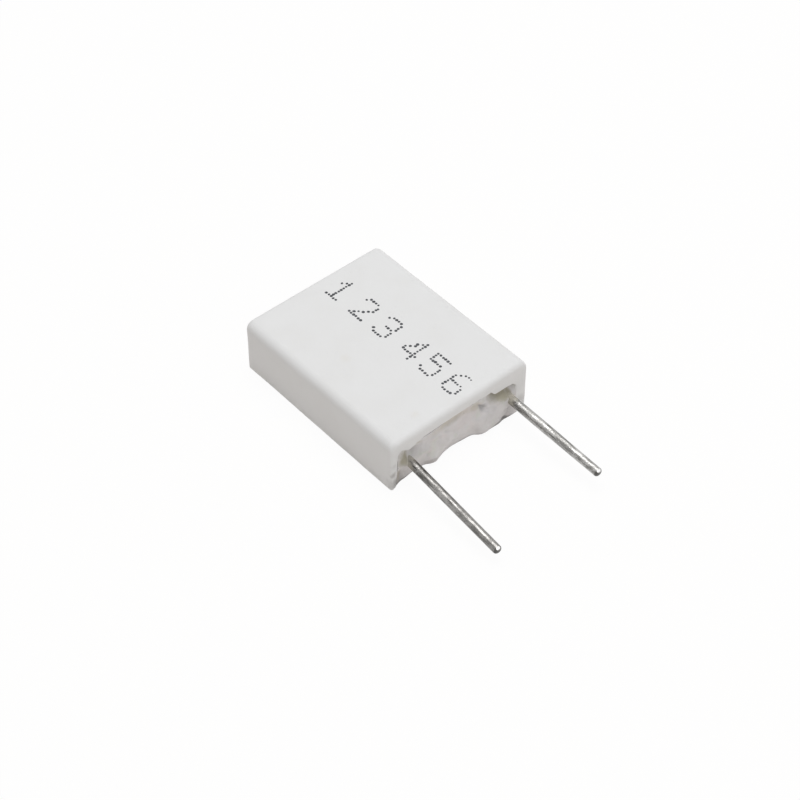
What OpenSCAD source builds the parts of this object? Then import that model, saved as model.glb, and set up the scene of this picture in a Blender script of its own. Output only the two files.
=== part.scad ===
// Cement-cased power resistor: a meander of sheet alloy between two leads, potted in an open ceramic case.
// It lies on the open broad face of the case. Both leads leave the open end, along +X, and +Z is up.
// The origin is the middle of the case's open broad face.

/* [Ceramic case] */
// Length of the case, along the leads
case_l = 17.7; // [15:0.1:30]
// Width of the case, across the leads
case_w = 14; // [12:0.5:20]
// Thickness of the case
case_t = 5; // [4.6:0.1:8]
// Thickness of the two side walls
side_wall = 0.95; // [0.6:0.05:1.5]
// Thickness of the wall at the closed end
end_wall = 1.2; // [0.6:0.1:2.5]
// Thickness of the broad wall over the potting
top_wall = 1.15; // [0.9:0.05:2]
// Radius of the two long edges of the broad wall
side_edge_r = 0.75; // [0.3:0.05:0.9]
// Radius of the broad wall's edge at the open end
lead_edge_r = 0.55; // [0.2:0.05:1]
// Radius of the broad wall's edge at the closed end
back_edge_r = 0.3; // [0.2:0.05:1]
// Radius of the four upright corners
corner_r = 0.3; // [0.2:0.05:0.8]
// Radius of the outer edges of the rim that the case lies on
rim_edge_r = 0.2; // [0.1:0.05:0.4]
// Radius inside the pocket, where its walls meet
pocket_r = 0.4; // [0.2:0.05:0.7]
// Height by which the broad wall hangs lower over the right lead, at the open end
ledge_h = 0.55; // [0.2:0.05:0.8]
// Width of that ledge, from the side wall
ledge_w = 2.5; // [1:0.1:4]
// Length of that ledge, from the open end
ledge_l = 0.8; // [0.3:0.1:2]

/* [Potting] */
// How far the potting lies below the rim of the open broad face
fill_sink = 0.12; // [0.05:0.01:0.5]
// How far the potting stands back from the open end, apart from its lumps
fill_set_back = 0.18; // [0:0.02:0.8]
// Height of the tallest lump on the potting at the open end
lump_rise = 0.4; // [0.1:0.05:0.6]
// Depth of the hollow round each lead where it leaves the potting
root_depth = 0.55; // [0.2:0.05:1.2]
// Width of that hollow, from the lead's axis to where it fades
root_spread = 0.75; // [0.5:0.05:1.2]

/* [Sheet element] */
// Thickness of the alloy sheet
sheet_t = 0.12; // [0.08:0.01:0.3]
// Number of parallel strips in the meander, always even
strips = 6; // [4:2:8]
// Width of the slots between the strips
slot_w = 0.7; // [0.3:0.05:1]
// Potting between the sheet and each side wall
sheet_side_gap = 0.25; // [0.1:0.05:0.6]
// Potting between the sheet and the closed end
sheet_back_gap = 0.6; // [0.2:0.1:2]
// Potting between the sheet's tabs and the open end
sheet_lead_gap = 3.5; // [2.5:0.1:5]
// Length of the tabs that carry the leads
tab_l = 2.6; // [2.2:0.1:4]
// Radius of the sheet's outer corners
sheet_corner_r = 0.3; // [0.1:0.05:0.5]

/* [Leads] */
// Diameter of the lead wire
lead_d = 0.8; // [0.6:0.05:1]
// Distance from the sheet's outer edge to the axis of a lead
lead_inset = 0.7; // [0.6:0.05:1]
// Height of the lead axes above the open broad face
lead_z = 2.1; // [1.4:0.05:2.6]
// Free length of the left lead, from the open end of the case
left_free_l = 10.25; // [5:0.05:40]
// Free length of the right lead
right_free_l = 9.9; // [5:0.05:40]
// Angle by which the left lead droops
left_droop = 5.5; // [1:0.1:12]
// Angle by which the left lead splays outwards
left_splay = 1.7; // [0:0.1:6]
// Angle by which the right lead droops
right_droop = 3.7; // [1:0.1:12]
// Angle by which the right lead splays outwards
right_splay = 1.0; // [0:0.1:6]
// Radius of the bend in each lead, at the open end, along the wire's middle
bend_r = 2; // [1:0.1:4]
// Radius of the edge at each cut tip
tip_r = 0.14; // [0.05:0.01:0.25]
// Thickness to which the inner end of each lead is pressed flat
foot_t = 0.5; // [0.3:0.05:0.6]
// Width of the pressed foot
foot_w = 1.1; // [0.85:0.05:1.2]
// Length of the pressed foot
foot_l = 2.1; // [1.4:0.1:2.2]
// Length over which the foot widens from the round wire
foot_taper_l = 0.8; // [0.4:0.1:1.5]
// Diameter of the two electrode marks on each foot
weld_d = 0.6; // [0.3:0.05:0.7]
// Depth of the electrode marks
weld_depth = 0.06; // [0.02:0.01:0.15]
// Distance between the two electrode marks
weld_pitch = 0.9; // [0.75:0.05:1.2]

/* [Hidden] */
$fn = 48;
// How far a cutting shape reaches past what it cuts
over = 1;
// Thickness of the slices that a foot is drawn between
sliver = 0.02;
LEFT = -1;
RIGHT = 1;

open_end = case_l / 2;
closed_end = -case_l / 2;
pocket_w = case_w - 2 * side_wall;
pocket_h = case_t - top_wall;
pocket_back = closed_end + end_wall;

sheet_w = pocket_w - 2 * sheet_side_gap;
sheet_back = pocket_back + sheet_back_gap;
tab_end = open_end - sheet_lead_gap;
meander_end = tab_end - tab_l - slot_w;
strip_w = (sheet_w - (strips - 1) * slot_w) / strips;
strip_pitch = strip_w + slot_w;
tab_w = 2 * lead_inset;
lead_y = sheet_w / 2 - lead_inset;
sheet_z = lead_z - foot_t / 2 - sheet_t;

// Lumps on the potting's free end: place across the pocket from -1 to 1, place up it from 0 to 1,
// height as a share of lump_rise (a hollow is negative), and spread as a share of the pocket's half width.
LUMPS = [
    [-0.34, 0.10, 1.00, 0.13],
    [0.55, 0.10, 0.60, 0.20],
    [0.95, 0.15, 0.50, 0.16],
    [-0.76, 0.05, -1.00, 0.17],
    [0.05, 0.60, 0.40, 0.22],
    [0.40, 0.75, 0.45, 0.16],
    [-0.45, 0.65, 0.30, 0.18]
];

// A bell-shaped bump that is 1 at its middle and fades with the distance d
function bell(d, spread) = exp(-pow(d / spread, 2));

// Sum of a list, from its term i on
function total(v, i = 0) = i < len(v) ? v[i] + total(v, i + 1) : 0;

// Distance from the axis of a lead, in the plane of the open end
function from_lead(y, z, side) = norm([y - side * lead_y, z - lead_z]);

// How far the potting's free end stands out at a place across and up the pocket
function free_end(y, z) =
    open_end - fill_set_back
    + lump_rise * total([for (k = LUMPS)
        k[2] * bell(norm([y / (pocket_w / 2) - k[0], (z / pocket_h - k[1]) * pocket_h / pocket_w]), k[3])])
    - root_depth * bell(from_lead(y, z, LEFT), root_spread)
    - root_depth * bell(from_lead(y, z, RIGHT), root_spread);

// A rectangle from the origin, with its corners rounded anticlockwise from the lowest left
module soft_rect(size, radii) {
    corners = [[0, 0], [size[0], 0], size, [0, size[1]]];
    difference() {
        square(size);
        for (i = [0:3])
            translate(corners[i]) rotate(90 * i) difference() {
                translate([-over, -over]) square(radii[i] + over);
                translate([radii[i], radii[i]]) circle(radii[i]);
            }
    }
}

// The case's outer block: its plan, side view and end view, each extruded and kept where all three meet
module case_block() {
    intersection() {
        translate([closed_end, -case_w / 2, 0]) linear_extrude(case_t)
            soft_rect([case_l, case_w], [corner_r, corner_r, corner_r, corner_r]);
        translate([closed_end, case_w / 2, 0]) rotate([90, 0, 0]) linear_extrude(case_w)
            soft_rect([case_l, case_t], [rim_edge_r, rim_edge_r, lead_edge_r, back_edge_r]);
        translate([closed_end, -case_w / 2, 0]) rotate([90, 0, 90]) linear_extrude(case_l)
            soft_rect([case_w, case_t], [rim_edge_r, rim_edge_r, side_edge_r, side_edge_r]);
    }
}

// The pocket from the height z0 up. It opens through the rim and through the open end.
module pocket(z0) {
    deep = case_l - end_wall + over;
    tall = pocket_h - z0;
    difference() {
        intersection() {
            translate([pocket_back, -pocket_w / 2, z0]) rotate([90, 0, 90]) linear_extrude(deep)
                soft_rect([pocket_w, tall], [0, 0, pocket_r, pocket_r]);
            translate([pocket_back, -pocket_w / 2, z0]) linear_extrude(tall)
                soft_rect([deep, pocket_w], [pocket_r, 0, 0, pocket_r]);
        }
        translate([open_end - ledge_l, pocket_w / 2 - ledge_w, pocket_h - ledge_h])
            cube([ledge_l + 2 * over, ledge_w + over, ledge_h + over]);
    }
}

module ceramic_case() {
    color("#ECECEB") difference() {
        case_block();
        pocket(-over);
    }
}

// A block with the potting's uneven free end on its +X side, larger than the pocket on every other side
module free_end_block() {
    across = 44;
    up = 16;
    y0 = -pocket_w / 2 - over;
    z0 = -over;
    x0 = pocket_back - over;
    w = pocket_w + 2 * over;
    h = pocket_h + 2 * over;
    at = function(i, j) i * (up + 1) + j;
    first = (across + 1) * (up + 1);
    grid = [for (i = [0:across], j = [0:up])
        let (y = y0 + w * i / across, z = z0 + h * j / up) [free_end(y, z), y, z]];
    back = [[x0, y0, z0], [x0, y0 + w, z0], [x0, y0 + w, z0 + h], [x0, y0, z0 + h]];
    polyhedron(
        points = concat(grid, back),
        faces = concat(
            [for (i = [0:across - 1], j = [0:up - 1]) [at(i, j), at(i, j + 1), at(i + 1, j + 1)]],
            [for (i = [0:across - 1], j = [0:up - 1]) [at(i, j), at(i + 1, j + 1), at(i + 1, j)]],
            [concat([first, first + 3], [for (j = [up:-1:0]) at(0, j)])],
            [concat([for (j = [0:up]) at(across, j)], [first + 2, first + 1])],
            [concat([first + 3, first + 2], [for (i = [across:-1:0]) at(i, up)])],
            [concat([for (i = [0:across]) at(i, 0)], [first + 1, first])],
            [[first + 1, first + 2, first + 3, first]]
        )
    );
}

module cement_fill() {
    color("#D9D6D2") difference() {
        intersection() {
            pocket(fill_sink);
            free_end_block();
        }
        resistance_plate();
        lead_left();
        lead_right();
    }
}

// One slot of the meander: odd ones open towards the leads, even ones towards the closed end
module slot(i) {
    opens_to_leads = i % 2 == 1;
    x0 = opens_to_leads ? sheet_back + strip_w + slot_w / 2 : sheet_back - over;
    x1 = opens_to_leads ? meander_end + over : meander_end - strip_w - slot_w / 2;
    y = -sheet_w / 2 + i * strip_pitch - slot_w / 2;
    translate([x0, y - slot_w / 2]) square([x1 - x0, slot_w]);
    translate([opens_to_leads ? x0 : x1, y]) circle(slot_w / 2);
}

// The meander with its two tabs, seen from above
module sheet_outline() {
    difference() {
        translate([sheet_back, -sheet_w / 2])
            soft_rect([meander_end - sheet_back, sheet_w], [sheet_corner_r, 0, 0, sheet_corner_r]);
        for (i = [1:strips - 1]) slot(i);
    }
    for (side = [0, 1]) mirror([0, side]) {
        translate([meander_end - strip_w / 2, -sheet_w / 2]) square([slot_w + strip_w, strip_w]);
        translate([meander_end + slot_w, -sheet_w / 2])
            soft_rect([tab_l, tab_w], [0, sheet_corner_r, sheet_corner_r, 0]);
    }
}

module resistance_plate() {
    color("#9A968F") translate([0, 0, sheet_z]) linear_extrude(sheet_t) sheet_outline();
}

// The inner end of a lead, pressed flat on its tab, with the marks of the welding electrodes
module foot() {
    difference() {
        translate([-foot_l, -foot_w / 2, -foot_t / 2]) linear_extrude(foot_t)
            soft_rect([foot_l, foot_w], [foot_w / 3, 0, 0, foot_w / 3]);
        for (k = [-1, 1])
            translate([-foot_l / 2 + k * weld_pitch / 2, 0, foot_t / 2 - weld_depth])
                cylinder(d = weld_d, h = over);
    }
    hull() {
        translate([0, -foot_w / 2, -foot_t / 2]) cube([sliver, foot_w, foot_t]);
        translate([foot_taper_l, 0, 0]) rotate([0, 90, 0]) cylinder(d = lead_d, h = sliver, $fn = 32);
    }
}

// A straight round wire along +X from the origin, with a rounded edge at its cut tip
module cut_wire(length) {
    rotate([0, 90, 0]) rotate_extrude() intersection() {
        square([lead_d / 2, length]);
        translate([-lead_d / 2, 0]) soft_rect([lead_d, length], [0, 0, tip_r, tip_r]);
    }
}

// The bend of a lead: a ring about the Y axis, cut square at its start and where it has turned by the angle
module bend(angle) {
    reach = 2 * bend_r;
    difference() {
        rotate([90, 0, 0]) rotate_extrude() translate([bend_r, 0]) circle(d = lead_d);
        translate([-reach, -bend_r, -reach]) cube([reach, reach, 2 * reach]);
        rotate([0, angle, 0]) translate([0, -bend_r, -reach]) cube([reach, reach, 2 * reach]);
    }
}

// One lead: foot, straight run through the potting, bend at the open end, and free stretch
module lead(side, free_l, droop, splay) {
    drop = tan(droop);
    out = side * tan(splay);
    angle = atan(norm([drop, out]));
    turn = atan2(out, drop);
    bend_l = bend_r * tan(angle / 2);
    run_l = open_end - bend_l - tab_end - foot_taper_l;
    translate([tab_end, side * lead_y, lead_z]) foot();
    translate([open_end - bend_l, side * lead_y, lead_z]) rotate([turn, 0, 0]) {
        rotate([0, -90, 0]) cylinder(d = lead_d, h = run_l);
        translate([0, 0, -bend_r]) {
            bend(angle);
            rotate([0, angle, 0]) translate([0, 0, bend_r]) cut_wire(free_l - bend_l);
        }
    }
}

module lead_left() {
    color("#A8A49C") lead(LEFT, left_free_l, left_droop, left_splay);
}

module lead_right() {
    color("#A8A49C") lead(RIGHT, right_free_l, right_droop, right_splay);
}

ceramic_case();
cement_fill();
resistance_plate();
lead_left();
lead_right();
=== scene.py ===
"""Visual model of a flat cement-filled power resistor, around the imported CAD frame.

Sizes in the classes are in millimetres, in the CAD's own frame: the origin is the middle of the
case's open broad face, +X runs along the leads and +Z is up. Meshes are brought to metres when they
are placed.
"""
import logging
import math
import random
from dataclasses import dataclass, field
from enum import Enum
from typing import Callable, Iterable, Optional, Sequence, Union

import bmesh
import bpy
from mathutils import Matrix, Vector, noise


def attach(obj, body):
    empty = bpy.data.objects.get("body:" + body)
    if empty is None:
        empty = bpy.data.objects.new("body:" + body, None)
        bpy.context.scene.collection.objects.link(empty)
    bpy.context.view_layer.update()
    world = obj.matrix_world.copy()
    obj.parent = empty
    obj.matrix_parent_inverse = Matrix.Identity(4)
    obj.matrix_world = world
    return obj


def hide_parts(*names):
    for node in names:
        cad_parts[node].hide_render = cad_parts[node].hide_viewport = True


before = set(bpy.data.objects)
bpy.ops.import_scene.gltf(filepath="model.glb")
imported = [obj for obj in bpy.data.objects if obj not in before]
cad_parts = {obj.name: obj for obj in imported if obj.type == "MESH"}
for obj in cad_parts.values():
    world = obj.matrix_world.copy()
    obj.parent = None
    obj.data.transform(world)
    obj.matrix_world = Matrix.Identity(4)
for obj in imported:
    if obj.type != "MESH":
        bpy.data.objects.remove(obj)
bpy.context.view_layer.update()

MM = 0.001
# Shared by the pieces: how far out the open end lies, and where the leads leave it.
OPEN_END = 8.85
LEAD_Y = 5.1
LEAD_Z = 2.1
log = logging.getLogger("cement_resistor")

Number = Union[int, float]
Colour = tuple[float, float, float]
Link = Union["Value", Number, Sequence[float]]
Line = tuple[tuple[float, float], ...]
Patches = tuple[tuple[float, float, float, float, float], ...]


class Side(Enum):
    """Which of the two leads is meant, with the sign of its place across the case."""

    LEFT = -1
    RIGHT = 1


class Slot(Enum):
    """The record's material slots that the new pieces take."""

    CASE = "case"
    CEMENT = "cement"
    LEAD = "lead"


@dataclass(frozen=True)
class Value:
    """A shader output that Python's operators work on by adding Math nodes."""

    net: "Net"
    socket: bpy.types.NodeSocket

    def _math(self, operation: str, first: Link, second: Link) -> "Value":
        """Adds one Math node."""
        return self.net.node("ShaderNodeMath", {"operation": operation}, {0: first, 1: second})

    def __add__(self, other: Link) -> "Value":
        """self + other."""
        return self._math("ADD", self, other)

    def __radd__(self, other: Link) -> "Value":
        """other + self."""
        return self._math("ADD", other, self)

    def __sub__(self, other: Link) -> "Value":
        """self - other."""
        return self._math("SUBTRACT", self, other)

    def __rsub__(self, other: Link) -> "Value":
        """other - self."""
        return self._math("SUBTRACT", other, self)

    def __mul__(self, other: Link) -> "Value":
        """self * other."""
        return self._math("MULTIPLY", self, other)

    def __rmul__(self, other: Link) -> "Value":
        """other * self."""
        return self._math("MULTIPLY", other, self)

    def most(self, other: Link) -> "Value":
        """The larger of the two."""
        return self._math("MAXIMUM", self, other)

    def fade(self, start: Number, end: Number) -> "Value":
        """Rises smoothly from 0 at start to 1 at end. Start may be the larger one.

        Args:
            start: value at which the result is 0.
            end: value at which the result is 1.

        Returns:
            The smooth step.
        """
        low, high = min(start, end), max(start, end)
        step = self.net.node("ShaderNodeMapRange", {"interpolation_type": "SMOOTHSTEP"},
                             {"Value": self, "From Min": low, "From Max": high})
        return step if start < end else 1 - step


class Net:
    """The node tree of one material or of the world, built up by calls."""

    def __init__(self, owner: Union[bpy.types.Material, bpy.types.World]) -> None:
        """Empties the owner's node tree.

        Args:
            owner: the new material or world.
        """
        self.owner = owner
        owner.use_nodes = True
        self.tree = owner.node_tree
        self.tree.nodes.clear()

    @classmethod
    def material(cls, name: str) -> "Net":
        """Starts a material."""
        return cls(bpy.data.materials.new(name))

    def make(self, kind: str, settings: Optional[dict] = None,
             inputs: Optional[dict] = None) -> bpy.types.Node:
        """Adds one node.

        Args:
            kind: the node's type.
            settings: its properties, set first. "stops" holds a ramp's stops.
            inputs: values or links, by socket name or number.

        Returns:
            The node.
        """
        made = self.tree.nodes.new(kind)
        for key, setting in (settings or {}).items():
            if key == "stops":
                ramp = made.color_ramp
                while len(ramp.elements) < len(setting):
                    ramp.elements.new(0.5)
                for element, (place, colour) in zip(ramp.elements, setting):
                    element.position, element.color = place, (*colour, 1.0)
            else:
                setattr(made, key, setting)
        for key, value in (inputs or {}).items():
            socket = made.inputs[key]
            if isinstance(value, Value):
                self.tree.links.new(value.socket, socket)
            elif socket.type == "RGBA" and len(value) == 3:
                socket.default_value = (*value, 1.0)
            else:
                socket.default_value = value
        return made

    def node(self, kind: str, settings: Optional[dict] = None, inputs: Optional[dict] = None,
             output: Union[int, str] = 0) -> Value:
        """Adds one node and gives one of its outputs.

        Args:
            kind: the node's type.
            settings: its properties, set first.
            inputs: values or links, by socket name or number.
            output: name or number of the output.

        Returns:
            The output.
        """
        return Value(self, self.make(kind, settings, inputs).outputs[output])

    def place_mm(self) -> Value:
        """The shaded point in the object's own millimetres."""
        metres = self.node("ShaderNodeTexCoord", output="Object")
        return self.vector("SCALE", metres, scale=1 / MM)

    def uv(self, scale: Sequence[float]) -> Value:
        """The piece's own UV place, stretched.

        Args:
            scale: factors for the two directions and a third of no use.

        Returns:
            The stretched place.
        """
        raw = self.node("ShaderNodeUVMap", {"uv_map": "along"})
        return self.vector("MULTIPLY", raw, scale)

    def vector(self, operation: str, first: Link, second: Link = (0.0, 0.0, 0.0),
               scale: Number = 1.0) -> Value:
        """Adds one Vector Math node.

        Args:
            operation: its operation.
            first: first vector.
            second: second vector.
            scale: the factor of a SCALE operation.

        Returns:
            The vector, or the number for an operation that gives one.
        """
        output = "Value" if operation in ("DISTANCE", "LENGTH", "DOT_PRODUCT") else "Vector"
        return self.node("ShaderNodeVectorMath", {"operation": operation},
                         {0: first, 1: second, 3: scale}, output)

    def axis(self, vector: Value, name: str) -> Value:
        """One component of a vector."""
        return self.node("ShaderNodeSeparateXYZ", None, {0: vector}, name)

    def grain(self, place: Value, per_mm: Number, detail: Number = 2.0, rough: Number = 0.5,
              twist: Number = 0.0) -> Value:
        """Smooth noise from 0 to 1.

        Args:
            place: where it is read.
            per_mm: how many grains there are in a millimetre.
            detail: octaves.
            rough: strength of the finer octaves.
            twist: how much the noise distorts itself.

        Returns:
            The noise.
        """
        return self.node("ShaderNodeTexNoise", None, {
            "Vector": place, "Scale": per_mm, "Detail": detail, "Roughness": rough,
            "Distortion": twist}, "Fac")

    def cells(self, place: Value, per_mm: Number) -> Value:
        """Distance to the nearest of scattered points, for pits and specks."""
        return self.node("ShaderNodeTexVoronoi", None, {"Vector": place, "Scale": per_mm}, "Distance")

    def mix(self, factor: Link, first: Link, second: Link) -> Value:
        """Mixes two colours.

        Args:
            factor: share of the second.
            first: first colour.
            second: second colour.

        Returns:
            The mixed colour.
        """
        return self.node("ShaderNodeMix", {"data_type": "RGBA"}, {0: factor, 6: first, 7: second}, 2)

    def bump(self, height: Value, strength: Number, depth_mm: Number,
             under: Optional[Value] = None) -> Value:
        """Turns a height into a normal.

        Args:
            height: the height, from 0 to 1.
            strength: share of the effect.
            depth_mm: depth of a height of 1.
            under: a normal that this one lies on.

        Returns:
            The normal.
        """
        inputs = {"Height": height, "Strength": strength, "Distance": depth_mm * MM}
        if under is not None:
            inputs["Normal"] = under
        return self.node("ShaderNodeBump", None, inputs)

    def seen_or_mirrored(self) -> Value:
        """Tells what is looked at from what lights the part.

        Returns:
            1 where the camera sees a point, or sees it in metal or glass, and 0 for light itself.
        """
        path = self.make("ShaderNodeLightPath")
        camera, glossy, through = (Value(self, path.outputs[f"Is {ray} Ray"])
                                   for ray in ("Camera", "Glossy", "Transmission"))
        return camera.most(glossy).most(through)

    def finish(self, shader: Value) -> bpy.types.Material:
        """Ends a material with its shader.

        Args:
            shader: the surface.

        Returns:
            The material.
        """
        self.make("ShaderNodeOutputMaterial", None, {"Surface": shader})
        return self.owner


@dataclass(frozen=True)
class CeramicFinish:
    """Unglazed pressed ceramic: near white, faintly mottled and grained, with smudges of handling,
    darker patches low on the pillars and a painted shadow along the bottom rim.
    """

    body: Colour = (0.785, 0.786, 0.786)
    shade: Colour = (0.765, 0.763, 0.758)
    # Dark grey of the pillar patches and of the painted shadow along the bottom rim.
    dark_grey: Colour = (0.20, 0.19, 0.175)
    smudge: Colour = (0.73, 0.70, 0.64)
    roughness: float = 0.52
    # Rows of x, y, z, reach and share.
    smudges: Patches = ((-0.6, -3.55, 5.0, 0.55, 0.35), (7.39, -3.37, 5.0, 0.5, 0.35))
    # Darker patches low on the pillars' front faces.
    dark_patches: Patches = (
        (8.8, -6.4, 0.7, 0.9, 0.62), (8.8, -6.75, 1.75, 0.32, 0.5),
        (8.8, -6.7, 2.7, 0.3, 0.16), (8.85, 6.3, 0.9, 1.0, 0.3))
    speck_share: float = 0.25
    # Painted contact shadow along the bottom rim: the height it reaches and its share.
    rim_shadow_height: float = 0.17
    rim_shadow_share: float = 0.6

    def make(self) -> bpy.types.Material:
        """Builds the material.

        Returns:
            The material.
        """
        net = Net.material("pressed_ceramic")
        place = net.place_mm()
        cloud = net.grain(place, 0.35, 3.0, 0.5)
        fine = net.grain(place, 5.0, 3.0, 0.6)
        colour = net.mix(cloud.fade(0.35, 0.75) * 0.7 + fine * 0.3, self.body, self.shade)
        wobble = net.grain(place, 2.2, 2.0)
        for x, y, z, reach, share in self.smudges:
            far = net.vector("DISTANCE", place, (x, y, z)) + wobble * 0.5
            colour = net.mix(far.fade(reach + 0.35, 0.15) * share, colour, self.smudge)
        for x, y, z, reach, share in self.dark_patches:
            far = net.vector("DISTANCE", place, (x, y, z)) + wobble * 0.4
            colour = net.mix(far.fade(reach + 0.3, 0.2) * share, colour, self.dark_grey)
        speck = net.cells(place, 0.9).fade(0.045, 0.02) * net.grain(place, 0.5).fade(0.5, 0.6)
        colour = net.mix(speck * self.speck_share, colour, self.smudge)
        # Painted contact shadow: darker towards the case's bottom rim, where it meets the floor.
        rim_shadow = (net.axis(place, "Z") + (wobble - 0.5) * 0.12).fade(self.rim_shadow_height, 0.06)
        colour = net.mix(rim_shadow * cloud.fade(0.3, 0.6) * self.rim_shadow_share, colour, self.dark_grey)
        pits = net.cells(place, 2.6).fade(0.02, 0.12)
        height = fine * 0.5 + net.grain(place, 14.0, 2.0) * 0.25 + pits * 0.25
        normal = net.bump(height, 0.5, 0.02)
        wide = net.bump(net.grain(place, 0.8, 1.0), 0.35, 0.06, normal)
        return net.finish(net.node("ShaderNodeBsdfPrincipled", None, {
            "Base Color": colour, "Roughness": self.roughness + fine * 0.12,
            "Specular IOR Level": 0.35, "Normal": wide}))


@dataclass(frozen=True)
class CementFinish:
    """Poured silica cement: matte and gritty, with olive stains where it wets the leads, a tan tint
    with painted shade under the ceiling, and painted shade in its creases and along its lower lip.
    """

    body: Colour = (0.735, 0.72, 0.725)
    damp: Colour = (0.655, 0.64, 0.64)
    rosy: Colour = (0.73, 0.68, 0.675)
    mossy: Colour = (0.68, 0.695, 0.65)
    # Dark grey of the painted shade in creases and along the lower lip.
    dark_grey: Colour = (0.17, 0.165, 0.16)
    olive: Colour = (0.41, 0.385, 0.305)
    tan: Colour = (0.60, 0.56, 0.50)
    speck: Colour = (0.24, 0.23, 0.20)
    # Rows of y, z, reach across, reach up and share.
    # Tan tint under the ceiling and beside the left pillar, darkened as painted shade of those
    # recesses.
    tan_tint_and_shade: Patches = (
        (-4.6, 3.5, 0.8, 0.3, 0.8), (-0.8, 3.55, 2.6, 0.5, 0.8), (1.7, 3.3, 1.0, 0.45, 0.8),
        (-6.1, 1.1, 0.35, 1.1, 0.8))
    # Painted shade in creases and dents and under the lumps' lower sides.
    painted_shade_spots: Patches = (
        (-6.0, 0.7, 0.5, 0.9, 0.3), (4.55, 0.2, 0.4, 0.3, 0.35), (2.42, 2.78, 0.55, 0.32, 0.34),
        (-2.9, 0.55, 0.8, 0.4, 0.3), (2.8, 1.85, 0.8, 0.6, 0.08))
    lead_stains: Patches = (
        (-5.65, 2.75, 0.8, 0.85, 0.95), (4.2, 3.05, 1.3, 0.75, 0.95), (4.55, 2.8, 0.55, 0.45, 0.95),
        (5.12, 2.5, 0.42, 0.45, 0.95))
    mouth_from: float = 6.0
    mouth_to: float = 8.0
    # Painted shade along the lower lip: the height it reaches, where it is full, and its share.
    lip_shade_height: float = 0.35
    lip_shade_full: float = 0.2
    lip_shade_share: float = 0.66

    def _stain_and_shade_share(self, net: Net, place: Value, spot: Sequence[float], wander: Value) -> Value:
        """How strongly a stain, a tint or a patch of painted shade shows, 1 at its middle.

        Args:
            net: the material.
            place: the shaded point.
            spot: its place across and up the mouth, and its reach in both directions.
            wander: noise that frays its edge.

        Returns:
            The share.
        """
        y, z, wide, tall = spot
        flat = net.vector("MULTIPLY", place, (0.0, 1 / wide, 1 / tall))
        return (net.vector("DISTANCE", flat, (0.0, y / wide, z / tall)) + wander).fade(1.15, 0.25)

    def make(self) -> bpy.types.Material:
        """Builds the material.

        Returns:
            The material.
        """
        net = Net.material("poured_cement")
        place = net.place_mm()
        cloud = net.grain(place, 0.7, 3.0, 0.55, 0.3)
        fine = net.grain(place, 6.0, 4.0, 0.65)
        colour = net.mix(cloud.fade(0.35, 0.7) * 0.6 + fine * 0.2, self.body, self.damp)
        warm = net.grain(place, 0.55, 2.0, 0.6, 0.5).fade(0.5, 0.68)
        colour = net.mix(warm * 0.55, colour, self.rosy)
        green = net.grain(place, 0.75, 2.0, 0.6, 0.8).fade(0.54, 0.7)
        colour = net.mix(green * 0.6, colour, self.mossy)
        wander = (net.grain(place, 1.5, 3.0, 0.6) - 0.5) * 0.9
        near_mouth = net.axis(place, "X").fade(self.mouth_from, self.mouth_to)
        for stain_and_shade_rows, tint in ((self.tan_tint_and_shade, self.tan), (self.painted_shade_spots, self.dark_grey),
                             (self.lead_stains, self.olive)):
            for *spot, share in stain_and_shade_rows:
                stain_and_shade = self._stain_and_shade_share(net, place, spot, wander) * near_mouth * share
                colour = net.mix(stain_and_shade, colour, tint)
        # Painted shade along the turned-under lower lip, reaching higher towards both sides.
        across = net.axis(place, "Y")
        rise = across.fade(2.6, 4.0) * across.fade(5.3, 4.3) * 0.2 + across.fade(-4.8, -6.1) * 0.12
        up = net.axis(place, "Z") + wander * 0.08 - rise
        lip = up.fade(self.lip_shade_height, self.lip_shade_full) * near_mouth
        colour = net.mix(lip * self.lip_shade_share, colour, self.dark_grey)
        specks = net.cells(place, 1.3).fade(0.07, 0.03) * net.grain(place, 0.8).fade(0.48, 0.6)
        colour = net.mix(specks * 0.8, colour, self.speck)
        pits = net.cells(place, 3.4).fade(0.03, 0.2)
        height = fine * 0.6 + pits * 0.4
        normal = net.bump(height, 0.45, 0.025)
        wide = net.bump(net.grain(place, 1.2, 2.0), 0.5, 0.12, normal)
        return net.finish(net.node("ShaderNodeBsdfPrincipled", None, {
            "Base Color": colour, "Roughness": 0.72 + fine * 0.15,
            "Specular IOR Level": 0.25, "Normal": wide}))


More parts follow.
